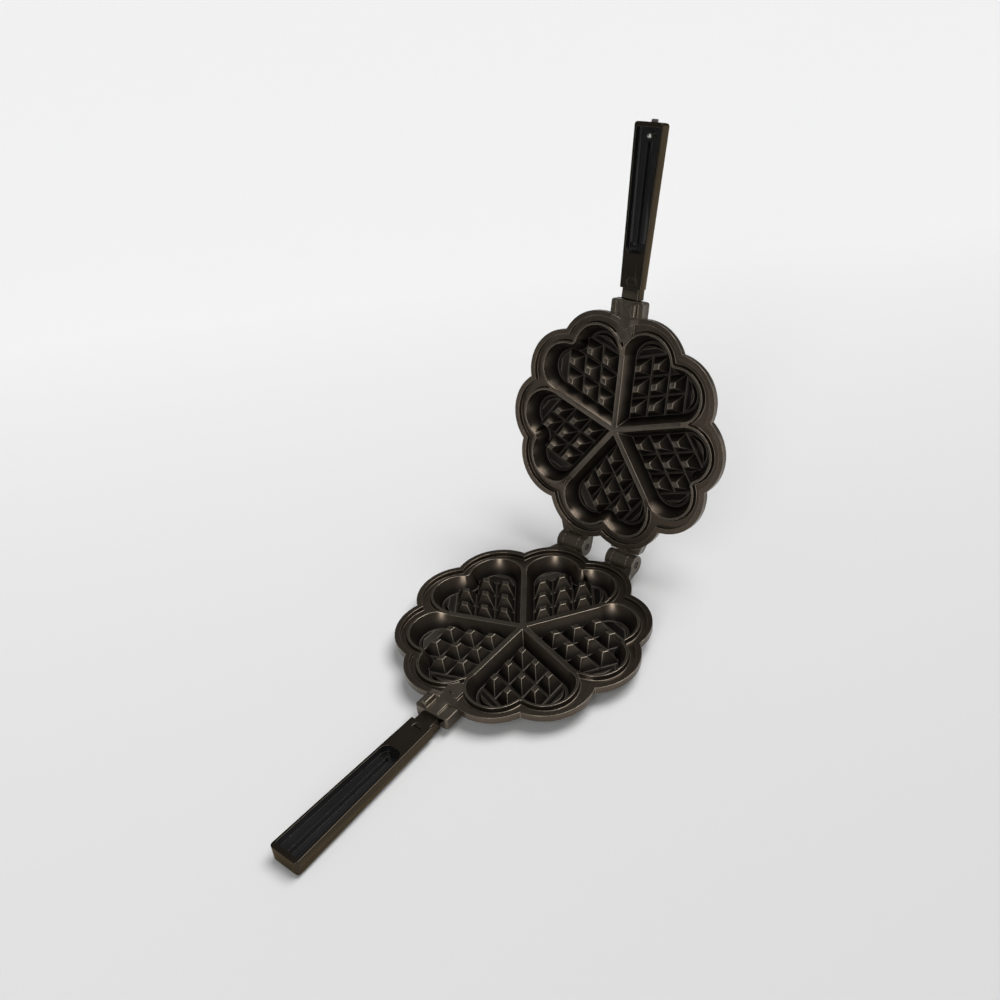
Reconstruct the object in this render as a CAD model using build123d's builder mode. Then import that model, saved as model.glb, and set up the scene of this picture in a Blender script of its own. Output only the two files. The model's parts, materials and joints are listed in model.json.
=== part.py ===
from build123d import *
from math import acos, asin, atan, cos, degrees, radians, sin, sqrt, tan
import os

os.makedirs("parts", exist_ok=True)

# ---------------------------------------------------------------- driving sizes, in mm
# A half is drawn as it lies on a table: hearts up, handle towards -Y, hinge towards +Y.
# Heights called "below" are measured down from the plane of the hinge axis.

plate_depth = 18.5          # resting face to the hinge plane
open_angle = 106.0          # how far the lid leans back when the iron stands open
closing_gap = 0.2           # each lip stops this far short of the hinge plane

heart_count = 5
mouth_lobe = 23.0           # round half of a heart, at the hinge plane
mouth_side = 18.3           # its centre, sideways from the heart's own axis
mouth_ridge = 0.75          # from the heart's straight side to the line between two hearts
mouth_cleft = 4.2           # rounding where the two lobes meet
cavity_depth = 13.4         # floor of a heart, below the hinge plane
wall_draft = 27.6           # lean of the heart's wall, in degrees from upright
cell_wall = 3.6             # casting wall round a heart, measured level
hub_radius = 13.0           # flat pad under the middle, where the hearts meet
crest_width = 1.8           # raised edge round the hearts
crest_draft = 18.0          # lean of its outer side
crest_below = 0.7           # the crest stops a little under the lips
ridge_below = 2.8           # the ridges between hearts are lower still
ridge_ramp_start = 64.0     # along a ridge, where it starts to climb to the crest
ridge_ramp_end = 74.0

post_pitch = 17.4           # along both straight sides of a heart
post_start = 26.8           # first post, from the centre of the plate
post_base = 15.9            # side of a post's foot
post_top = 5.0              # side of its flat top
post_below = 3.6            # post tops, below the hinge plane
post_rows = 3
moon_start = 58.0           # low half-moon in the end of each lobe, across from the far ridge
moon_crest = 63.6           # it climbs to here
moon_height = 3.0
moon_gap = 1.3              # groove between its round side and the wall
moon_draft = 30.0

rim_lobe_radius = 38.0      # ten shallow scallops make the outline
rim_lobe_side = 18.5
rim_lobe_out = 61.9
rim_notch_radius = 3.0
lip_width = 4.5
moat_below = 4.2            # overflow channel inside the lip
rim_thickness = 7.0
rim_foot_chamfer = 1.4

boss_half_width = 15.3      # the block that carries the handle
boss_start = 88.0
boss_end = 111.0
boss_below = 2.0
boss_bottom = 11.5
boss_corner = 2.2
saddle_half_width = 4.0     # the lip ramps down to the block from here ...
saddle_spread = 14.0        # ... to here
bridge_half_width = 7.4     # crosses the overflow channel to the hearts
bridge_start = 76.0
key_side = 7.9              # raised key on the left, matching pocket on the right
key_width = 4.6
key_length = 10.6
key_inset = 7.3             # from the end of the block to the middle of the key
key_above = 2.3             # the key crosses the hinge plane by this much
key_edge = 0.7
pocket_clearance = 0.3
pocket_depth = 1.6

tang_half_width = 5.5       # tongue of metal inside the handle
tang_length = 28.0
tang_top_below = 6.8
tang_thickness = 4.2
tang_clearance = 0.15

hinge_out = 109.5           # hinge axis from the centre of the plate
barrel_radius = 8.0
barrel_clearance = 0.7
lug_inner = 5.0             # both lugs spread from here ...
lug_outer = 44.5            # ... to here at the plate, left and right of the middle
lug_root = 84.0
lug_top_below = 0.5
lug_bottom_below = 9.2
tongue_width = 14.0
tongue_middle = 25.0
ear_width = 6.0
ear_gap = 0.35              # play on each side of the tongue
heel_reach = 10.8           # stop heel on the back of each tongue
heel_half_angle = 12.0
heel_play = 2.0             # degrees left before the heel touches
pin_radius = 3.0
pin_fit = 0.05              # running clearance round the pin, on the radius
pin_recess = 0.4            # the pin ends just inside the ears
pin_chamfer = 0.5

handle_face_below = 3.5
handle_length = 132.0       # without its neck
root_half_width = 10.0
end_half_width = 13.0
root_thickness = 11.0
end_thickness = 13.8
side_draft = 3.5            # lean of its sides, in degrees
back_radius = 2.8           # round the back and the free end
face_radius = 0.7
neck_gap = 0.3              # between the block and the neck
neck_length = 9.2
neck_half_width = 8.2
neck_top_below = 4.3
neck_bottom_below = 14.0
neck_corner = 1.5

recess_shoulder = 28.5      # solid face before the hollow in the mating face
recess_end_wall = 3.9
recess_depth = 5.6
recess_rim = 2.1
recess_draft = 0.5
recess_near_radius = 6.0
recess_far_radius = 1.0
well_length = 8.5           # deeper pocket at the plate end of the hollow
well_depth = 8.2
rib_width = 1.4
rib_below_face = 0.9
rib_gap = 1.0               # the lid's rib stops short of the rivet's boss

screw_reach = 15.0          # block to countersunk screw, through handle and tang
screw_radius = 2.0
screw_head_radius = 3.7
screw_head_height = 1.9
screw_length = 9.2
screw_clearance = 0.15
screw_slot_width = 1.0
screw_slot_depth = 0.9

strip_width = 5.8           # steel strip in the end of the lid's handle
strip_thickness = 1.2
strip_below = 12.4
strip_tail = 6.0            # from the rivet towards the plate
strip_stand_out = 2.5
strip_corner = 1.0
strip_clearance = 0.15
rivet_inset = 10.5          # the rivet that holds it, from the free end
rivet_radius = 1.5
rivet_head_radius = 2.3
rivet_head_height = 1.2
rivet_clearance = 0.1
rivet_boss_radius = 3.8
rivet_boss_height = 2.6
rivet_foot_radius = 2.6
rivet_foot_height = 1.0

overlap = 1.0               # how far one shape is sunk into the next before they are joined

# ---------------------------------------------------------------- worked out from them
half_angle = 180 / heart_count
draft_run = tan(radians(wall_draft))
run = sin(radians(half_angle))      # sideways share of a step along a ridge
rise = cos(radians(half_angle))     # outward share of it
floor_height = plate_depth - cavity_depth
lip_height = plate_depth - closing_gap
crest_height = plate_depth - crest_below
ridge_height = plate_depth - ridge_below
moat_height = plate_depth - moat_below
rim_foot = plate_depth - rim_thickness
boss_height = plate_depth - boss_below
key_middle = boss_end - key_inset
neck_start = boss_end + neck_gap
handle_root = neck_start + neck_length
handle_end = handle_root + handle_length
screw_out = boss_end + screw_reach
recess_start = handle_root + recess_shoulder
recess_end = handle_end - recess_end_wall
well_end = recess_start + well_length
rivet_out = handle_end - rivet_inset
strip_start = rivet_out - strip_tail
face_height = plate_depth - handle_face_below
post_height = cavity_depth - post_below
post_draft = degrees(atan((post_base - post_top) / 2 * sin(2 * radians(half_angle)) / post_height))
tongue_inner = tongue_middle - tongue_width / 2
tongue_outer = tongue_middle + tongue_width / 2
ear_inner = tongue_inner - ear_gap - ear_width
ear_outer = tongue_outer + ear_gap + ear_width
slot_radius = barrel_radius + barrel_clearance
heel_tilt = 180 - degrees(acos(slot_radius / heel_reach)) - heel_half_angle - open_angle - heel_play
recess_floor = face_height - recess_depth
rib_stop = rivet_out - rivet_boss_radius - rib_gap
rivet_seat = recess_floor + rivet_boss_height
dome_radius = (rivet_head_radius**2 + rivet_head_height**2) / (2 * rivet_head_height)
dome_middle = rivet_seat + rivet_head_height - dome_radius
handle_slope = (end_thickness - root_thickness) / handle_length
rivet_foot = face_height - root_thickness - handle_slope * (rivet_out - handle_root)
hinge_point = (0, hinge_out, plate_depth)
closed_frame = Plane(hinge_point, x_dir=(1, 0, 0), z_dir=(0, 0, 1))
open_frame = Plane(
    hinge_point,
    x_dir=(-1, 0, 0),
    z_dir=(0, -sin(radians(open_angle)), -cos(radians(open_angle))),
)
lid_place = open_frame.location * closed_frame.location.inverse()


# ---------------------------------------------------------------- outlines
def heart_outline(height, grow):
    """A heart's mouth grown evenly by grow, its point near the plate centre."""
    lobe = mouth_lobe + grow
    ridge = mouth_ridge - grow
    cleft = mouth_cleft - grow
    lobe_out = (lobe + ridge + mouth_side * rise) / run
    cleft_out = lobe_out + sqrt((lobe + cleft) ** 2 - mouth_side**2)
    flank = (mouth_side + lobe * rise, lobe_out - lobe * run)
    crown = (mouth_side + lobe * run, lobe_out + lobe * rise)
    meet_share = lobe / (lobe + cleft)
    meet = (mouth_side * (1 - meet_share), lobe_out + (cleft_out - lobe_out) * meet_share)
    with BuildSketch(Plane.XY.offset(height)) as outline:
        with BuildLine():
            Line((0, ridge / run), flank)
            ThreePointArc(flank, crown, meet)
            ThreePointArc(meet, (0, cleft_out - cleft), (-meet[0], meet[1]))
            ThreePointArc((-meet[0], meet[1]), (-crown[0], crown[1]), (-flank[0], flank[1]))
            Line((-flank[0], flank[1]), (0, ridge / run))
        make_face()
    return outline.sketch


def wall_grow(height):
    """How far the hollow's wall stands outside its mouth at a height."""
    return (height - plate_depth) * draft_run


def rim_outline(height, inset):
    """The ten-scallop outline of the plate, shrunk evenly by inset."""
    reach = sqrt(rim_lobe_side**2 + rim_lobe_out**2)
    lean = degrees(asin(rim_lobe_side / reach))
    with BuildSketch(Plane.XY.offset(height)) as outline:
        for turn in (-lean, lean):
            with PolarLocations(reach, heart_count, start_angle=90 + turn):
                Circle(rim_lobe_radius - inset)
        notches = outline.vertices().sort_by(SortBy.DISTANCE)[: 2 * heart_count]
        fillet(notches, rim_notch_radius + inset)
    return outline.sketch


def rhombus(height, middle_x, middle_y, side):
    with BuildSketch(Plane.XY.offset(height)) as outline:
        with BuildLine():
            Polyline(
                (middle_x, middle_y - side * rise),
                (middle_x + side * run, middle_y),
                (middle_x, middle_y + side * rise),
                (middle_x - side * run, middle_y),
                close=True,
            )
        make_face()
    return outline.sketch


def handle_plan(height, start, end, inset, near_radius, far_radius):
    """The handle's tapering plan between two distances, inset from its sides."""
    spread = (end_half_width - root_half_width) / handle_length
    near = root_half_width + spread * (start - handle_root) - inset
    far = root_half_width + spread * (end - handle_root) - inset
    with BuildSketch(Plane.XY.offset(height)) as outline:
        with BuildLine():
            Polyline((-near, -start), (near, -start), (far, -end), (-far, -end), close=True)
        make_face()
        fillet(outline.vertices().sort_by(Axis.Y)[:2], far_radius)
        fillet(outline.vertices().sort_by(Axis.Y)[-2:], near_radius)
    return outline.sketch


def hinge_profile(from_side):
    """Side view of an ear or tongue, on a plane across the hinge axis."""
    cut = Plane((from_side, hinge_out, plate_depth), x_dir=(0, 1, 0), z_dir=(1, 0, 0))
    with BuildSketch(cut) as outline:
        Circle(barrel_radius)
        with BuildLine():
            Polyline(
                (lug_root - hinge_out, -lug_top_below),
                (0, -lug_top_below),
                (0, -barrel_radius),
                (-slot_radius, -lug_bottom_below),
                (lug_root - hinge_out, -lug_bottom_below),
                close=True,
            )
        make_face()
    return outline.sketch


# ---------------------------------------------------------------- hearts of one half
with BuildPart() as hollow:
    extrude(heart_outline(plate_depth, 0), amount=-cavity_depth, taper=wall_draft)

cell_top = moat_height - overlap
with BuildPart() as cell:
    extrude(
        heart_outline(cell_top, cell_wall + wall_grow(cell_top)),
        amount=-cell_top,
        taper=wall_draft,
    )

with BuildPart() as crest:
    extrude(
        heart_outline(crest_height, crest_width + wall_grow(crest_height)),
        amount=moat_height - overlap - crest_height,
        taper=-crest_draft,
    )

# Everything outside one heart, a little inside its walls, to trim what stands on its floor.
with BuildPart() as surround:
    with BuildSketch(Plane.XY):
        Circle(rim_lobe_out + rim_lobe_radius)
    extrude(amount=plate_depth)
    extrude(
        heart_outline(plate_depth, overlap / 2),
        amount=-cavity_depth - overlap,
        taper=wall_draft,
        mode=Mode.SUBTRACT,
    )

# Posts stand in rows along both straight sides.
with BuildPart() as posts:
    for row in range(post_rows):
        for column in range(post_rows):
            if row + column < 2 * post_rows - 2:
                along = post_start + post_pitch * (row + column) * rise
                across = post_pitch * (row - column) * run
                extrude(rhombus(floor_height - overlap, across, along, post_base), amount=overlap)
                extrude(
                    rhombus(floor_height, across, along, post_base),
                    amount=post_height,
                    taper=post_draft,
                )
    add(surround.part, mode=Mode.SUBTRACT)

# A low half-moon closes the end of each lobe, its straight side towards the posts.
with BuildPart() as moons:
    moon_foot = floor_height - overlap
    extrude(
        heart_outline(moon_foot, wall_grow(floor_height) - moon_gap),
        amount=moon_height + overlap,
        taper=moon_draft,
    )
    with BuildSketch(Plane((0, 0, moon_foot), x_dir=(rise, run, 0), z_dir=(run, -rise, 0))):
        with BuildLine():
            Polyline(
                (-post_start, -overlap),
                (moon_start, -overlap),
                (moon_start, overlap),
                (moon_crest, overlap + moon_height),
                (moon_crest, plate_depth),
                (-post_start, plate_depth),
                close=True,
            )
        make_face()
    extrude(amount=rim_lobe_out + rim_lobe_radius, both=True, mode=Mode.SUBTRACT)
    mirror(about=Plane.YZ)


# ---------------------------------------------------------------- one half, as cast
with BuildPart() as lower_plate:
    extrude(rim_outline(rim_foot, 0), amount=lip_height - rim_foot)
    chamfer(lower_plate.faces().sort_by(Axis.Z)[0].edges(), rim_foot_chamfer)

    # block for the handle
    with BuildSketch(Plane.XY.offset(plate_depth - boss_bottom)) as block:
        with Locations((0, -(boss_start + boss_end) / 2)):
            Rectangle(2 * boss_half_width, boss_end - boss_start)
        fillet(block.vertices().sort_by(Axis.Y)[:2], boss_corner)
    extrude(amount=boss_bottom - boss_below)

    # hinge: both roots, two ears on the right, the tongue with its heel on the left
    with BuildSketch(Plane.XY.offset(plate_depth - lug_bottom_below)):
        with BuildLine():
            Polyline(
                (lug_inner, lug_root),
                (lug_outer, lug_root),
                (ear_outer, hinge_out - slot_radius),
                (ear_inner, hinge_out - slot_radius),
                close=True,
            )
        make_face()
        mirror(about=Plane.YZ)
    extrude(amount=lug_bottom_below - lug_top_below)
    for ear_side in (ear_inner, ear_outer - ear_width):
        extrude(hinge_profile(ear_side), amount=ear_width)
    extrude(hinge_profile(-tongue_outer), amount=tongue_width)
    heel_low = radians(heel_tilt - heel_half_angle)
    heel_high = radians(heel_tilt + heel_half_angle)
    with BuildSketch(
        Plane((-tongue_outer, hinge_out, plate_depth), x_dir=(0, 1, 0), z_dir=(1, 0, 0))
    ):
        with BuildLine():
            Polyline(
                (0, 0),
                (heel_reach * cos(heel_low), heel_reach * sin(heel_low)),
                (heel_reach * cos(heel_high), heel_reach * sin(heel_high)),
                close=True,
            )
        make_face()
    extrude(amount=tongue_width)
    with BuildSketch(Plane((0, hinge_out, plate_depth), x_dir=(0, 1, 0), z_dir=(1, 0, 0))):
        Circle(pin_radius + pin_fit)
    extrude(amount=ear_outer + overlap, both=True, mode=Mode.SUBTRACT)

    # underside of the hearts, and the pad in their middle
    with PolarLocations(0, heart_count):
        add(cell.part)
    with BuildSketch(Plane.XY):
        Circle(hub_radius)
    extrude(amount=rim_foot)

    # overflow channel, then the raised edge of the hearts and the bridge across
    extrude(rim_outline(moat_height, lip_width), amount=moat_below, mode=Mode.SUBTRACT)
    with PolarLocations(0, heart_count):
        add(crest.part)
    with BuildSketch(Plane.XY.offset(moat_height - overlap)):
        with Locations((0, -(bridge_start + boss_end - boss_corner) / 2)):
            Rectangle(2 * bridge_half_width, boss_end - boss_corner - bridge_start)
    extrude(amount=boss_height - moat_height + overlap)
    with BuildSketch(Plane.XZ.offset(boss_start)):
        with BuildLine():
            Polyline(
                (-saddle_half_width, boss_height),
                (saddle_half_width, boss_height),
                (saddle_spread, plate_depth),
                (-saddle_spread, plate_depth),
                close=True,
            )
        make_face()
    extrude(amount=boss_end - boss_start, mode=Mode.SUBTRACT)

    # hollows, lowered ridges, posts and half-moons
    with PolarLocations(0, heart_count):
        add(hollow.part, mode=Mode.SUBTRACT)
    with BuildSketch(Plane.XZ):
        with BuildLine():
            Polyline(
                (0, ridge_height),
                (ridge_ramp_start, ridge_height),
                (ridge_ramp_end, crest_height),
                (ridge_ramp_end, plate_depth),
                (0, plate_depth),
                close=True,
            )
        make_face()
    revolve(axis=Axis.Z, mode=Mode.SUBTRACT)
    with PolarLocations(0, heart_count):
        add(posts.part)
        add(moons.part)

    # key and pocket, tongue for the handle
    with BuildSketch(Plane.XY.offset(boss_height - overlap)):
        with Locations((-key_side, -key_middle)):
            Rectangle(key_width, key_length)
    extrude(amount=key_above + boss_below + overlap)
    chamfer(lower_plate.faces(Select.LAST).sort_by(Axis.Z)[-1].edges(), key_edge)
    with BuildSketch(Plane.XY.offset(boss_height - pocket_depth)):
        with Locations((key_side, -key_middle)):
            Rectangle(key_width + 2 * pocket_clearance, key_length + 2 * pocket_clearance)
    extrude(amount=pocket_depth + overlap, mode=Mode.SUBTRACT)
    with BuildSketch(Plane.XY.offset(plate_depth - tang_top_below - tang_thickness)):
        with Locations((0, -(boss_end + tang_length / 2) + overlap / 2)):
            Rectangle(2 * tang_half_width, tang_length + overlap)
        with Locations((0, -screw_out)):
            Circle(screw_radius + screw_clearance, mode=Mode.SUBTRACT)
    extrude(amount=tang_thickness)


# ---------------------------------------------------------------- handle of one half
with BuildPart() as lower_handle:
    # plan of the mating face, both long sides drawn in towards the back
    with BuildSketch(Plane.XY.offset(face_height)):
        with BuildLine():
            Polyline(
                (-root_half_width, -handle_root),
                (root_half_width, -handle_root),
                (end_half_width, -handle_end),
                (-end_half_width, -handle_end),
                close=True,
            )
        make_face()
    extrude(amount=-end_thickness)
    sides = lower_handle.faces().sort_by(Axis.X)
    draft([sides[0], sides[-1]], neutral_plane=Plane.XY.offset(face_height), angle=-side_draft)
    with BuildSketch(Plane((0, 0, face_height), x_dir=(0, 1, 0), z_dir=(1, 0, 0))):
        with BuildLine():
            Polyline(
                (-handle_root, 0),
                (-handle_end, 0),
                (-handle_end, -end_thickness),
                (-handle_root, -root_thickness),
                close=True,
            )
        make_face()
    extrude(amount=end_half_width + overlap, both=True, mode=Mode.INTERSECT)
    free_end = lower_handle.faces().sort_by(Axis.Y)[0]
    face_edges = lower_handle.faces().sort_by(Axis.Z)[-1].edges()
    back = lower_handle.faces().sort_by(Axis.Z)[0].edges()
    round_edges = (free_end.edges() + back.sort_by(Axis.Y)[:3]) - face_edges
    fillet(round_edges, back_radius)
    fillet(lower_handle.faces().sort_by(Axis.Z)[-1].edges().sort_by(Axis.Y)[:-1], face_radius)
    with BuildSketch(Plane((0, -neck_start, 0), x_dir=(1, 0, 0), z_dir=(0, -1, 0))):
        with Locations((0, plate_depth - (neck_top_below + neck_bottom_below) / 2)):
            RectangleRounded(
                2 * neck_half_width, neck_bottom_below - neck_top_below, neck_corner
            )
    extrude(amount=handle_root - neck_start + overlap)

    # hollow with its deeper pocket and thin middle rib
    extrude(
        handle_plan(
            recess_floor, recess_start, recess_end, recess_rim, recess_near_radius,
            recess_far_radius,
        ),
        amount=recess_depth + overlap,
        mode=Mode.SUBTRACT,
    )
    extrude(
        handle_plan(
            face_height - well_depth, recess_start + recess_draft, well_end,
            recess_rim + recess_draft, recess_near_radius - recess_draft, recess_far_radius,
        ),
        amount=well_depth,
        mode=Mode.SUBTRACT,
    )
    with BuildSketch(Plane.XY.offset(recess_floor - overlap)):
        with Locations((0, -(well_end + recess_end) / 2)):
            Rectangle(rib_width, recess_end - well_end + overlap)
    extrude(amount=recess_depth - rib_below_face + overlap)

    # socket for the tongue, hole and seat for the screw
    with BuildSketch(
        Plane.XY.offset(plate_depth - tang_top_below - tang_thickness - tang_clearance)
    ):
        with Locations((0, -(neck_start + boss_end + tang_length + tang_clearance) / 2)):
            Rectangle(
                2 * (tang_half_width + tang_clearance),
                boss_end + tang_length + tang_clearance - neck_start + overlap,
            )
    extrude(amount=tang_thickness + 2 * tang_clearance, mode=Mode.SUBTRACT)
    with BuildSketch(Plane.XZ.offset(screw_out)):
        with BuildLine():
            Polyline(
                (0, face_height),
                (screw_head_radius + screw_clearance, face_height),
                (screw_radius + screw_clearance, face_height - screw_head_height),
                (screw_radius + screw_clearance, face_height - screw_length - screw_clearance),
                (0, face_height - screw_length - screw_clearance),
                close=True,
            )
        make_face()
    revolve(
        axis=Axis((0, -screw_out, 0), (0, 0, 1)), mode=Mode.SUBTRACT
    )

with BuildPart() as lower_handle_screw:
    with BuildSketch(Plane.XZ.offset(screw_out)):
        with BuildLine():
            Polyline(
                (0, face_height - screw_clearance / 2),
                (screw_head_radius, face_height - screw_clearance / 2),
                (screw_radius, face_height - screw_clearance / 2 - screw_head_height),
                (screw_radius, face_height - screw_length),
                (0, face_height - screw_length),
                close=True,
            )
        make_face()
    revolve(axis=Axis((0, -screw_out, 0), (0, 0, 1)))
    with BuildSketch(Plane.XY.offset(face_height - screw_slot_depth)):
        with Locations((0, -screw_out)):
            Rectangle(2 * screw_head_radius + overlap, screw_slot_width)
    extrude(amount=screw_slot_depth, mode=Mode.SUBTRACT)

# ---------------------------------------------------------------- strip in the lid's handle
with BuildPart() as end_strip:
    strip_length = handle_end + strip_stand_out - strip_start
    with BuildSketch(Plane.XY.offset(plate_depth - strip_below - strip_thickness)):
        with Locations((0, -strip_start - strip_length / 2)):
            RectangleRounded(strip_width, strip_length, strip_corner)
        with Locations((0, -rivet_out)):
            Circle(rivet_radius + rivet_clearance, mode=Mode.SUBTRACT)
    extrude(amount=strip_thickness)

with BuildPart() as strip_rivet:
    with BuildSketch(Plane.XZ.offset(rivet_out)):
        with BuildLine():
            Polyline(
                (0, rivet_foot),
                (rivet_foot_radius, rivet_foot),
                (rivet_foot_radius, rivet_foot + rivet_foot_height),
                (rivet_radius, rivet_foot + rivet_foot_height),
                (rivet_radius, rivet_seat),
                (rivet_head_radius, rivet_seat),
            )
            ThreePointArc(
                (rivet_head_radius, rivet_seat),
                (rivet_head_radius / 2, dome_middle + sqrt(dome_radius**2 - rivet_head_radius**2 / 4)),
                (0, rivet_seat + rivet_head_height),
            )
            Line((0, rivet_seat + rivet_head_height), (0, rivet_foot))
        make_face()
    revolve(axis=Axis((0, -rivet_out, 0), (0, 0, 1)))

# The lid's handle is the same moulding, drilled for the strip and its rivet.
with BuildPart() as drilled_handle:
    add(lower_handle.part)
    with BuildSketch(Plane.XY.offset(recess_floor)):
        with Locations((0, -(rib_stop + recess_end) / 2)):
            Rectangle(3 * rib_width, recess_end - rib_stop)
    extrude(amount=recess_depth, mode=Mode.SUBTRACT)
    with BuildSketch(Plane.XY.offset(recess_floor - overlap)):
        with Locations((0, -rivet_out)):
            Circle(rivet_boss_radius)
    extrude(amount=rivet_boss_height + overlap)
    slot_foot = plate_depth - strip_below - strip_thickness - strip_clearance
    with BuildSketch(Plane.XY.offset(slot_foot)):
        with Locations((0, -(strip_start + handle_end) / 2)):
            Rectangle(
                strip_width + 2 * strip_clearance,
                handle_end - strip_start + 2 * strip_clearance,
            )
    extrude(amount=strip_thickness + 2 * strip_clearance, mode=Mode.SUBTRACT)
    with BuildSketch(Plane.XY):
        with Locations((0, -rivet_out)):
            Circle(rivet_radius + rivet_clearance)
    extrude(amount=plate_depth, mode=Mode.SUBTRACT)
    with BuildSketch(Plane.XY):
        with Locations((0, -rivet_out)):
            Circle(rivet_foot_radius + rivet_clearance)
    extrude(amount=rivet_foot + rivet_foot_height + rivet_clearance, mode=Mode.SUBTRACT)

# ---------------------------------------------------------------- hinge pin, fixed in the ears
with BuildPart() as right_hinge_pin:
    with BuildSketch(
        Plane((ear_inner + pin_recess, hinge_out, plate_depth), x_dir=(0, 1, 0), z_dir=(1, 0, 0))
    ):
        Circle(pin_radius)
    extrude(amount=ear_outer - ear_inner - 2 * pin_recess)
    chamfer(right_hinge_pin.edges(), pin_chamfer)

# ---------------------------------------------------------------- the lid: the same half turned over
with BuildPart() as upper_plate:
    with Locations(lid_place):
        add(lower_plate.part)

with BuildPart() as upper_handle:
    with Locations(lid_place):
        add(drilled_handle.part)

with BuildPart() as upper_handle_screw:
    with Locations(lid_place):
        add(lower_handle_screw.part)

with BuildPart() as upper_end_strip:
    with Locations(lid_place):
        add(end_strip.part)

with BuildPart() as upper_strip_rivet:
    with Locations(lid_place):
        add(strip_rivet.part)

with BuildPart() as left_hinge_pin:
    with Locations(lid_place):
        add(right_hinge_pin.part)

# ---------------------------------------------------------------- hand out
pieces = {
    "lower_plate": lower_plate,
    "upper_plate": upper_plate,
    "lower_handle": lower_handle,
    "upper_handle": upper_handle,
    "lower_handle_screw": lower_handle_screw,
    "upper_handle_screw": upper_handle_screw,
    "right_hinge_pin": right_hinge_pin,
    "left_hinge_pin": left_hinge_pin,
    "upper_handle_end_strip": upper_end_strip,
    "upper_handle_rivet": upper_strip_rivet,
}
for name, piece in pieces.items():
    piece.part.label = name
    export_step(piece.part, f"parts/{name}.step")
    print(name, round(piece.part.volume / 1000, 2), "cm3")
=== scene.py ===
import bpy
import bmesh
import json
from math import cos, radians, sin
from mathutils import Matrix, Vector


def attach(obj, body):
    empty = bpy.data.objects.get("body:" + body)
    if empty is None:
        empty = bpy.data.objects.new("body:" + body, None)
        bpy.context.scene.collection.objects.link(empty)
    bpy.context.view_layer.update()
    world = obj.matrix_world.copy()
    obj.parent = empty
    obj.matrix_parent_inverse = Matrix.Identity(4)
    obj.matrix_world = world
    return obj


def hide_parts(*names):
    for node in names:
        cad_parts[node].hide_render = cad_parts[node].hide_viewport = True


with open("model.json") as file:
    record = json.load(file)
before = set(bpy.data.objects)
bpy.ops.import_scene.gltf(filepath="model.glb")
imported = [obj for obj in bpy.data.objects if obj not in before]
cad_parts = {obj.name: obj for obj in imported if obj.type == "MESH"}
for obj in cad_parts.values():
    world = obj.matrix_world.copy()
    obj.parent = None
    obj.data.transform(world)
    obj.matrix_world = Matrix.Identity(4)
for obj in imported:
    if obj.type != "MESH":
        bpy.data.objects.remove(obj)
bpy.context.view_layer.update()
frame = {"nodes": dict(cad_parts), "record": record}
nodes = frame["nodes"]
print("frame loaded:", len(nodes), "pieces")


def newGroup(name, inputs, outputs):
    group = bpy.data.node_groups.new(name, "ShaderNodeTree")
    for label, kind, value in inputs:
        socket = group.interface.new_socket(name=label, in_out="INPUT", socket_type=kind)
        socket.default_value = value
    for label, kind in outputs:
        group.interface.new_socket(name=label, in_out="OUTPUT", socket_type=kind)
    start = group.nodes.new("NodeGroupInput")
    end = group.nodes.new("NodeGroupOutput")
    return group, start, end


def mathNode(tree, operation, first, second=None, clamp=False):
    node = tree.nodes.new("ShaderNodeMath")
    node.operation = operation
    node.use_clamp = clamp
    for index, value in enumerate((first, second)):
        if value is None:
            continue
        if isinstance(value, (int, float)):
            node.inputs[index].default_value = value
        else:
            tree.links.new(value, node.inputs[index])
    return node.outputs[0]


grainLook = {
    "grainScale": 1800.0, "blotchScale": 40.0, "speckScale": 260.0,
    "grainNoise": (3.0, 0.6), "blotchNoise": (5.0, 0.55), "speckDetail": 2.0, "speckBand": (0.6, 0.72)}


def makeSurfaceGrain():
    # fine grain, slow blotches and sparse specks; each finish gives its own sizes for the first two
    group, start, end = newGroup(
        "surfaceGrain",
        [("Grain Scale", "NodeSocketFloat", grainLook["grainScale"]),
         ("Blotch Scale", "NodeSocketFloat", grainLook["blotchScale"]),
         ("Wear Scale", "NodeSocketFloat", grainLook["speckScale"])],
        [("Grain", "NodeSocketFloat"), ("Blotch", "NodeSocketFloat"), ("Speck", "NodeSocketFloat")],
    )
    place = group.nodes.new("ShaderNodeTexCoord")
    for label, socketName, (detail, rough) in (
        ("Grain", "Grain Scale", grainLook["grainNoise"]),
        ("Blotch", "Blotch Scale", grainLook["blotchNoise"])):
        noise = group.nodes.new("ShaderNodeTexNoise")
        noise.inputs["Detail"].default_value = detail
        noise.inputs["Roughness"].default_value = rough
        group.links.new(place.outputs["Object"], noise.inputs["Vector"])
        group.links.new(start.outputs[socketName], noise.inputs["Scale"])
        group.links.new(noise.outputs["Fac"], end.inputs[label])
    specks = group.nodes.new("ShaderNodeTexNoise")
    specks.inputs["Detail"].default_value = grainLook["speckDetail"]
    group.links.new(place.outputs["Object"], specks.inputs["Vector"])
    group.links.new(start.outputs["Wear Scale"], specks.inputs["Scale"])
    sharp = group.nodes.new("ShaderNodeMapRange")
    sharp.inputs["From Min"].default_value = grainLook["speckBand"][0]
    sharp.inputs["From Max"].default_value = grainLook["speckBand"][1]
    group.links.new(specks.outputs["Fac"], sharp.inputs["Value"])
    group.links.new(sharp.outputs["Result"], end.inputs["Speck"])
    return group


surfaceGrain = makeSurfaceGrain()


heartDepth = {"top": 0.0172, "bottom": 0.0068}


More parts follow.
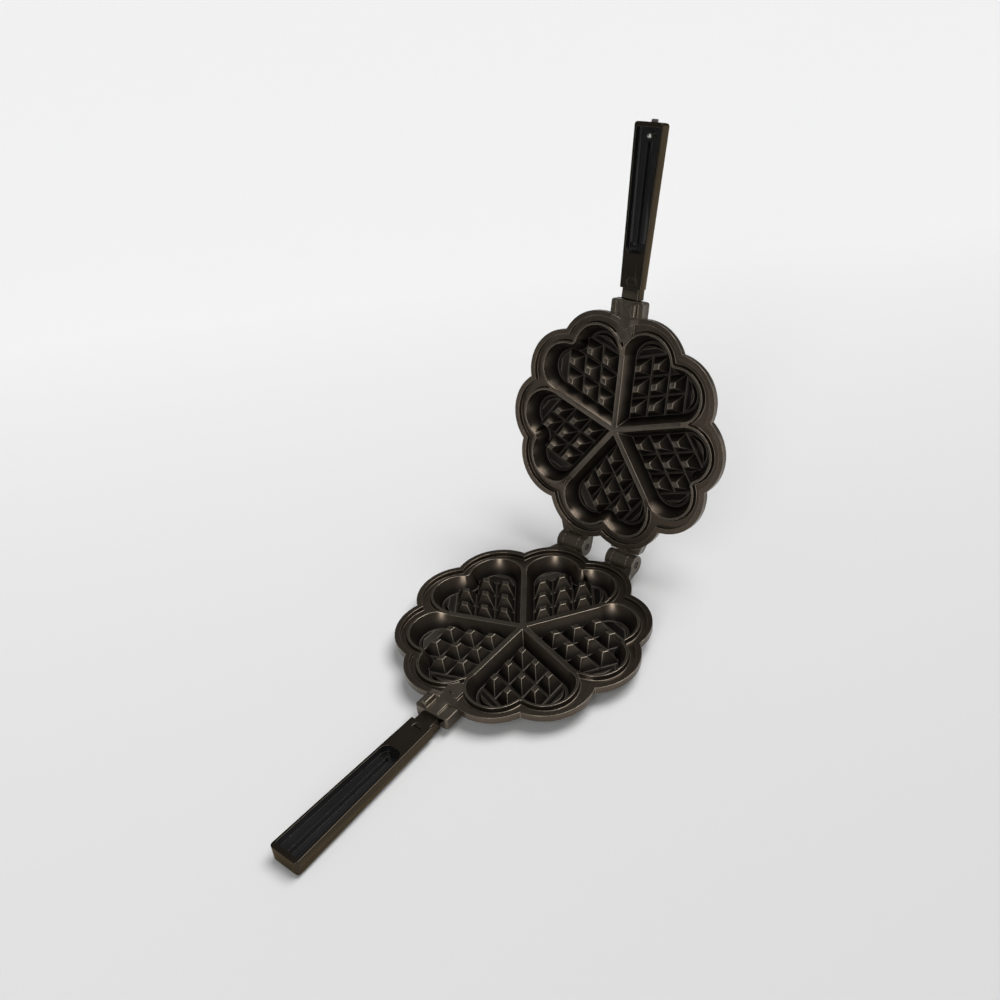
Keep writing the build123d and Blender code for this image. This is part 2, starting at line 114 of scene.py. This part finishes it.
def makeCastingDepth():
    # 0 at the top of a heart, 1 from a little above its floor down; it sets how much painted shade the colour
    # takes and how matt it gets
    group, start, end = newGroup(
        "castingDepth",
        [("Up", "NodeSocketVector", (0.0, 0.0, 1.0)), ("Lift", "NodeSocketFloat", 0.0),
         ("Top", "NodeSocketFloat", heartDepth["top"]), ("Bottom", "NodeSocketFloat", heartDepth["bottom"])],
        [("Depth", "NodeSocketFloat")],
    )
    place = group.nodes.new("ShaderNodeTexCoord")
    along = group.nodes.new("ShaderNodeVectorMath")
    along.operation = "DOT_PRODUCT"
    group.links.new(place.outputs["Object"], along.inputs[0])
    group.links.new(start.outputs["Up"], along.inputs[1])
    height = mathNode(group, "ADD", along.outputs["Value"], start.outputs["Lift"])
    depth = group.nodes.new("ShaderNodeMapRange")
    depth.interpolation_type = "SMOOTHSTEP"
    group.links.new(height, depth.inputs["Value"])
    group.links.new(start.outputs["Top"], depth.inputs["From Min"])
    group.links.new(start.outputs["Bottom"], depth.inputs["From Max"])
    group.links.new(depth.outputs["Result"], end.inputs["Depth"])
    return group


castingDepth = makeCastingDepth()
lidHinge = frame["record"]["behaviour"]["joints"][0]
hingePoint = Vector(lidHinge["pos_m"])
openAngle = radians(lidHinge["range_deg"][1])
lidTurn = Matrix((
    (-1, 0, 0),
    (0, cos(openAngle), -sin(openAngle)),
    (0, -sin(openAngle), -cos(openAngle))))
lidUp = lidTurn.col[2].copy()
castingUp = {
    "lower": (Vector((0, 0, 1)), 0.0),
    "upper": (lidUp, hingePoint.z - lidUp.dot(hingePoint))}
whiteTint = (1.0, 1.0, 1.0)


def makeFinish(name, look, half=None):
    material = bpy.data.materials.new(name)
    material.use_nodes = True
    tree = material.node_tree
    shader = tree.nodes["Principled BSDF"]
    shader.inputs["Metallic"].default_value = look["metallic"]
    shader.inputs["Specular IOR Level"].default_value = look["specular"]
    grain = tree.nodes.new("ShaderNodeGroup")
    grain.node_tree = surfaceGrain
    grain.inputs["Grain Scale"].default_value = look["grainScale"]
    grain.inputs["Blotch Scale"].default_value = look["blotchScale"]
    blend = tree.nodes.new("ShaderNodeMix")
    blend.data_type = "RGBA"
    blend.inputs["A"].default_value = (*look["dark"], 1.0)
    blend.inputs["B"].default_value = (*look["light"], 1.0)
    tree.links.new(grain.outputs["Blotch"], blend.inputs["Factor"])
    speckled = tree.nodes.new("ShaderNodeMix")
    speckled.data_type = "RGBA"
    speckled.inputs["B"].default_value = (*look["speckColour"], 1.0)
    tree.links.new(blend.outputs["Result"], speckled.inputs["A"])
    speckShare = mathNode(tree, "MULTIPLY", grain.outputs["Speck"], look["specks"])
    tree.links.new(speckShare, speckled.inputs["Factor"])
    colour = speckled.outputs["Result"]
    if half:
        sunk = tree.nodes.new("ShaderNodeGroup")
        sunk.node_tree = castingDepth
        sunk.inputs["Up"].default_value = castingUp[half][0]
        sunk.inputs["Lift"].default_value = castingUp[half][1]
        # painted shade: the colour darkens from the top of the hearts down to their floors and everything
        # lower, where shade falls in the hollows
        paintedShadeMix = tree.nodes.new("ShaderNodeMix")
        paintedShadeMix.data_type = "RGBA"
        paintedShadeMix.inputs["B"].default_value = (*look["paintedShadeColour"], 1.0)
        tree.links.new(colour, paintedShadeMix.inputs["A"])
        paintedShadeShare = mathNode(tree, "MULTIPLY", sunk.outputs["Depth"], look["paintedShadeShare"])
        tree.links.new(paintedShadeShare, paintedShadeMix.inputs["Factor"])
        colour = paintedShadeMix.outputs["Result"]
    tree.links.new(colour, shader.inputs["Base Color"])
    shader.inputs["Specular Tint"].default_value = (*look.get("grazing", whiteTint), 1.0)
    rough = tree.nodes.new("ShaderNodeMapRange")
    rough.inputs["To Min"].default_value = look["roughness"][0]
    rough.inputs["To Max"].default_value = look["roughness"][1]
    tree.links.new(grain.outputs["Blotch"], rough.inputs["Value"])
    dullness = rough.outputs["Result"]
    if half:
        # baked-on oil leaves the floors of the hearts matt
        dulled = tree.nodes.new("ShaderNodeMix")
        dulled.data_type = "FLOAT"
        dulled.inputs["B"].default_value = look["deepRoughness"]
        tree.links.new(dullness, dulled.inputs["A"])
        tree.links.new(sunk.outputs["Depth"], dulled.inputs["Factor"])
        dullness = dulled.outputs["Result"]
    tree.links.new(dullness, shader.inputs["Roughness"])
    bump = tree.nodes.new("ShaderNodeBump")
    bump.inputs["Strength"].default_value = look["bump"]
    bump.inputs["Distance"].default_value = look["bumpDepth"]
    tree.links.new(grain.outputs["Grain"], bump.inputs["Height"])
    tree.links.new(bump.outputs["Normal"], shader.inputs["Normal"])
    return material


castingLooks = {
    "coatedCasting": {
        "metallic": 0.9, "specular": 0.4, "dark": (0.052, 0.043, 0.034), "light": (0.155, 0.12, 0.089),
        "paintedShadeColour": (0.012, 0.0104, 0.009), "paintedShadeShare": 0.94, "deepRoughness": 0.55,
        "roughness": (0.18, 0.3), "grainScale": 1500.0, "blotchScale": 26.0, "bump": 0.22,
        "bumpDepth": 0.00012, "speckColour": (0.16, 0.135, 0.11), "specks": 0.25},
    "rubbedCasting": {
        "metallic": 0.85, "specular": 0.5, "dark": (0.055, 0.046, 0.037), "light": (0.14, 0.118, 0.092),
        "paintedShadeColour": (0.04, 0.035, 0.03), "paintedShadeShare": 0.3, "deepRoughness": 0.55,
        "roughness": (0.24, 0.34), "grainScale": 1500.0, "blotchScale": 60.0, "bump": 0.2,
        "bumpDepth": 0.0001, "speckColour": (0.05, 0.042, 0.034), "specks": 0.4},
    "bareCasting": {
        "metallic": 0.85, "specular": 0.5, "dark": (0.085, 0.07, 0.053), "light": (0.17, 0.143, 0.11),
        "paintedShadeColour": (0.05, 0.043, 0.035), "paintedShadeShare": 0.35, "deepRoughness": 0.55,
        "roughness": (0.22, 0.34), "grainScale": 1300.0, "blotchScale": 45.0, "bump": 0.35,
        "bumpDepth": 0.00015, "speckColour": (0.06, 0.052, 0.042), "specks": 0.35},
    # painted highlight: every bevelled edge, the hollow fillets at the heart floors too, gets this lighter
    # colour
    "castingEdge": {
        "metallic": 0.85, "specular": 0.5, "dark": (0.09, 0.075, 0.058), "light": (0.32, 0.275, 0.218),
        "paintedShadeColour": (0.035, 0.03, 0.025), "paintedShadeShare": 0.8, "deepRoughness": 0.55,
        "roughness": (0.22, 0.32), "grainScale": 1500.0, "blotchScale": 90.0, "bump": 0.15,
        "bumpDepth": 0.0001, "speckColour": (0.06, 0.05, 0.04), "specks": 0.3}}
castingFinishes = {
    half: [makeFinish(half + name[0].upper() + name[1:], look, half) for name, look in castingLooks.items()]
    for half in ("lower", "upper")}
handleMoulding = makeFinish("handleMoulding", {
    "grazing": (0.62, 0.54, 0.44), "metallic": 0.85, "specular": 0.3,
    "dark": (0.028, 0.0235, 0.018), "light": (0.066, 0.054, 0.041),
    "roughness": (0.18, 0.26), "grainScale": 2200.0, "blotchScale": 25.0, "bump": 0.12,
    "bumpDepth": 0.00008, "speckColour": (0.08, 0.07, 0.058), "specks": 0.2})
handleEdge = makeFinish("handleEdge", {
    "metallic": 0.85, "specular": 0.6, "dark": (0.03, 0.026, 0.02), "light": (0.08, 0.069, 0.054),
    "roughness": (0.26, 0.36), "grainScale": 2200.0, "blotchScale": 60.0, "bump": 0.1,
    "bumpDepth": 0.00006, "speckColour": (0.04, 0.034, 0.028), "specks": 0.3})
recessGloss = makeFinish("recessGloss", {
    "metallic": 0.0, "specular": 0.5, "dark": (0.0058, 0.0059, 0.0062), "light": (0.0105, 0.0107, 0.0112),
    "roughness": (0.12, 0.2), "grainScale": 1800.0, "blotchScale": 30.0, "bump": 0.06,
    "bumpDepth": 0.00006, "speckColour": (0.03, 0.03, 0.03), "specks": 0.2})
brightSteel = makeFinish("brightSteel", {
    "metallic": 1.0, "specular": 0.5, "dark": (0.36, 0.34, 0.31), "light": (0.55, 0.53, 0.5),
    "roughness": (0.26, 0.4), "grainScale": 2500.0, "blotchScale": 120.0, "bump": 0.12,
    "bumpDepth": 0.00005, "speckColour": (0.2, 0.18, 0.15), "specks": 0.4})
blackenedSteel = makeFinish("blackenedSteel", {
    "metallic": 0.9, "specular": 0.5, "dark": (0.02, 0.017, 0.0135), "light": (0.045, 0.038, 0.03),
    "roughness": (0.34, 0.48), "grainScale": 2500.0, "blotchScale": 120.0, "bump": 0.12,
    "bumpDepth": 0.00005, "speckColour": (0.16, 0.14, 0.12), "specks": 0.3})
print("finishes ready")

# places in a half's own frame, as it lies on the table: heights from 0, the hinge plane at the hinge's height
castingZones = {
    "crestTop": 0.0178, "ridgeTop": 0.0157, "postTop": 0.0149, "tolerance": 0.0001, "flatFrom": 0.99,
    "boss": (0.0155, -0.0880), "bridge": (0.0075, -0.0760), "bridgeFlatFrom": 0.9, "hinge": 0.0965}
recessZone = {
    "near": -0.1489, "far": -0.2488, "below": 0.0005, "face": 0.0150, "foot": 0.004,
    "halfWidth": 0.0086, "spread": 0.0227, "margin": 0.001, "edgeShare": 0.3}
castingRound = {"floor": 0.0045, "postTop": 0.0152, "reach": 0.09, "elsewhere": 0.65}
edgeWidth = {"plate": 0.0005, "handle": 0.0003}
edgeWork = {"mergeWithin": 0.00001, "flatWithin": 0.6, "sharpFrom": 28, "segments": 2}
sharpAngle = radians(edgeWork["sharpFrom"])


def ownFrame(point, half):
    # where a point of the lid would be if the lid lay on the table like the lower half
    if half == "lower":
        return point.copy()
    return lidTurn.transposed() @ (point - hingePoint) + hingePoint


def castingFinish(face, half):
    # 0 coated, 1 rubbed flats, 2 bare metal; the rounded edges get the fourth finish from the bevel, a
    # lighter colour that is a painted highlight along every rounded edge, hollow or raised
    middle = ownFrame(face.calc_center_median(), half)
    normal = face.normal if half == "lower" else lidTurn.transposed() @ face.normal
    zones = castingZones
    if middle.y < zones["boss"][1] and abs(middle.x) < zones["boss"][0]:
        return 2
    onBridge = middle.y < zones["bridge"][1] and abs(middle.x) < zones["bridge"][0]
    if onBridge and normal.z > zones["bridgeFlatFrom"]:
        return 2
    if middle.y > zones["hinge"]:
        return 2
    flats = (zones["crestTop"], zones["ridgeTop"], zones["postTop"])
    if normal.z > zones["flatFrom"] and any(abs(middle.z - top) < zones["tolerance"] for top in flats):
        return 1
    return 0


def handleFinish(face, half):
    # 0 outside, 1 the glossy hollow
    middle = ownFrame(face.calc_center_median(), half)
    zone = recessZone
    reach = zone["halfWidth"] + zone["spread"] * (zone["near"] - middle.y) + zone["margin"]
    inside = zone["far"] < middle.y < zone["near"] and abs(middle.x) < reach
    return 1 if inside and zone["foot"] < middle.z < zone["face"] - zone["below"] else 0


def castingRounding(point):
    # share of the full edge width: posts, channels and the floor's border are rounder
    zone = castingRound
    inHearts = zone["floor"] < point.z < zone["postTop"] and point.xy.length < zone["reach"]
    return 1.0 if inHearts else zone["elsewhere"]


def handleRounding(point):
    # the hollow's own edges and the rib stay crisp
    zone = recessZone
    outside = point.z > zone["face"] - zone["below"] or point.z < zone["foot"]
    return 1.0 if outside else zone["edgeShare"]


def softenedCopy(nodeName, half, body, finishes, chooseFinish, chooseRounding, width, edgeFinish):
    # the solid's own surface with its sharp edges rounded
    mesh = nodes[nodeName].data.copy()
    mesh.name = nodeName + "Skin"
    work = bmesh.new()
    work.from_mesh(mesh)
    bmesh.ops.remove_doubles(work, verts=work.verts, dist=edgeWork["mergeWithin"])
    flatAngle = radians(edgeWork["flatWithin"])
    bmesh.ops.dissolve_limit(work, angle_limit=flatAngle, verts=work.verts, edges=work.edges)
    for face in work.faces:
        face.material_index = chooseFinish(face, half)
    share = work.edges.layers.float.new("bevel_weight_edge")
    for edge in work.edges:
        if len(edge.link_faces) == 2 and edge.calc_face_angle() > sharpAngle:
            edge[share] = chooseRounding(ownFrame((edge.verts[0].co + edge.verts[1].co) / 2, half))
    mesh.materials.clear()
    for finish in finishes:
        mesh.materials.append(finish)
    work.to_mesh(mesh)
    work.free()
    mesh.shade_smooth()
    mesh.set_sharp_from_angle(angle=sharpAngle)
    piece = bpy.data.objects.new(nodeName + "Skin", mesh)
    bpy.context.scene.collection.objects.link(piece)
    softening = piece.modifiers.new("softening", "BEVEL")
    softening.width = width
    softening.segments = edgeWork["segments"]
    softening.limit_method = "WEIGHT"
    softening.use_clamp_overlap = False
    softening.harden_normals = True
    softening.material = edgeFinish
    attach(piece, body)
    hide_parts(nodeName)
    return piece


for half, body in (("lower", "base"), ("upper", "lid")):
    plate = softenedCopy(half + "_plate", half, body, castingFinishes[half],
                         castingFinish, castingRounding, edgeWidth["plate"], 3)
    handle = softenedCopy(half + "_handle", half, body, [handleMoulding, recessGloss, handleEdge],
                          handleFinish, handleRounding, edgeWidth["handle"], 2)
for nodeName, finish in (
    ("lower_handle_screw", blackenedSteel), ("upper_handle_screw", blackenedSteel),
    ("right_hinge_pin", blackenedSteel), ("left_hinge_pin", blackenedSteel),
    ("upper_handle_end_strip", brightSteel), ("upper_handle_rivet", brightSteel)):
    node = nodes[nodeName]
    node.data.materials.clear()
    node.data.materials.append(finish)
print("castings, handles and fasteners finished")

stage = {
    "floorSize": 60.0, "nearPaintedShade": (0.68, 0.68, 0.68), "farColour": (0.92, 0.92, 0.92),
    "shadeFrom": -0.6, "shadeTo": 1.1, "worldColour": (0.98, 0.98, 0.98),
    "worldStrength": 0.15, "horizonStrength": 0.85,
    "sunStrength": 2.35, "sunAngle": 40.0, "sunFrom": (0.26, 0.3, 0.92),
    "fillStrength": 0.6, "fillAngle": 30.0, "fillFrom": (0.3, -0.7, 0.65)}
frontBox = {"place": (0.55, -1.55, 0.5), "target": (0, 0, 0.1), "size": (0.35, 0.6), "power": 5.5}
view = {
    "lens": 36.66, "sensor": 36.0, "shiftUp": -0.1146, "clip": (0.01, 100.0),
    "place": (0.41777, -0.47814, 0.55492), "right": (0.78239641, 0.61568546, -0.09374052),
    "up": (-0.21653488, 0.41006077, 0.88598127), "back": (0.58392509, -0.67289047, 0.45414745)}

work = bmesh.new()
bmesh.ops.create_grid(work, x_segments=1, y_segments=1, size=stage["floorSize"] / 2)
floorMesh = bpy.data.meshes.new("floor")
work.to_mesh(floorMesh)
work.free()
floor = bpy.data.objects.new("floor", floorMesh)
bpy.context.scene.collection.objects.link(floor)
floorPaint = bpy.data.materials.new("floorPaint")
floorPaint.use_nodes = True
floorTree = floorPaint.node_tree
paint = floorTree.nodes["Principled BSDF"]
across = floorTree.nodes.new("ShaderNodeTexCoord")
split = floorTree.nodes.new("ShaderNodeSeparateXYZ")
floorTree.links.new(across.outputs["Object"], split.inputs["Vector"])
# painted shade: the floor's colour grades from pale on the far side to darker on the side near the camera
distance = floorTree.nodes.new("ShaderNodeMapRange")
distance.inputs["From Min"].default_value = stage["shadeFrom"]
distance.inputs["From Max"].default_value = stage["shadeTo"]
backwards = mathNode(floorTree, "SUBTRACT", split.outputs["Y"], split.outputs["X"])
floorTree.links.new(backwards, distance.inputs["Value"])
shade = floorTree.nodes.new("ShaderNodeMix")
shade.data_type = "RGBA"
shade.inputs["A"].default_value = (*stage["nearPaintedShade"], 1.0)
shade.inputs["B"].default_value = (*stage["farColour"], 1.0)
floorTree.links.new(distance.outputs["Result"], shade.inputs["Factor"])
floorTree.links.new(shade.outputs["Result"], paint.inputs["Base Color"])
paint.inputs["Roughness"].default_value = 1.0
paint.inputs["Specular IOR Level"].default_value = 0.0
floorMesh.materials.append(floorPaint)

world = bpy.data.worlds.new("studio")
bpy.context.scene.world = world
world.use_nodes = True
air = world.node_tree.nodes["Background"]
air.inputs["Color"].default_value = (*stage["worldColour"], 1.0)
# the sky that the camera sees beyond the floor is paler than the one that lights the iron
seen = world.node_tree.nodes.new("ShaderNodeLightPath")
shown = world.node_tree.nodes.new("ShaderNodeMapRange")
shown.inputs["To Min"].default_value = stage["worldStrength"]
shown.inputs["To Max"].default_value = stage["horizonStrength"]
world.node_tree.links.new(seen.outputs["Is Camera Ray"], shown.inputs["Value"])
world.node_tree.links.new(shown.outputs["Result"], air.inputs["Strength"])


def softBox(name, box):
    lamp = bpy.data.lights.new(name, "AREA")
    lamp.shape = "RECTANGLE"
    lamp.size, lamp.size_y = box["size"]
    lamp.energy = box["power"]
    holder = bpy.data.objects.new(name, lamp)
    bpy.context.scene.collection.objects.link(holder)
    holder.location = box["place"]
    aim = Vector(box["target"]) - Vector(box["place"])
    holder.rotation_euler = aim.to_track_quat("-Z", "Y").to_euler()


for label, strength, angle, origin in (
    ("sky", stage["sunStrength"], stage["sunAngle"], stage["sunFrom"]),
    ("fill", stage["fillStrength"], stage["fillAngle"], stage["fillFrom"])):
    lamp = bpy.data.lights.new(label, "SUN")
    lamp.energy = strength
    lamp.angle = radians(angle)
    holder = bpy.data.objects.new(label, lamp)
    bpy.context.scene.collection.objects.link(holder)
    holder.rotation_euler = Vector(origin).to_track_quat("Z", "Y").to_euler()
softBox("frontSoftBox", frontBox)

camera = bpy.data.cameras.new("camera")
camera.lens = view["lens"]
camera.sensor_width = view["sensor"]
camera.shift_y = view["shiftUp"]
camera.clip_start, camera.clip_end = view["clip"]
eye = bpy.data.objects.new("camera", camera)
bpy.context.scene.collection.objects.link(eye)
axes = Matrix([view[name] for name in ("right", "up", "back")]).transposed().to_4x4()
eye.matrix_world = Matrix.Translation(view["place"]) @ axes
bpy.context.scene.camera = eye
bpy.context.scene.view_settings.view_transform = "Standard"
print("floor, lamps and camera ready")
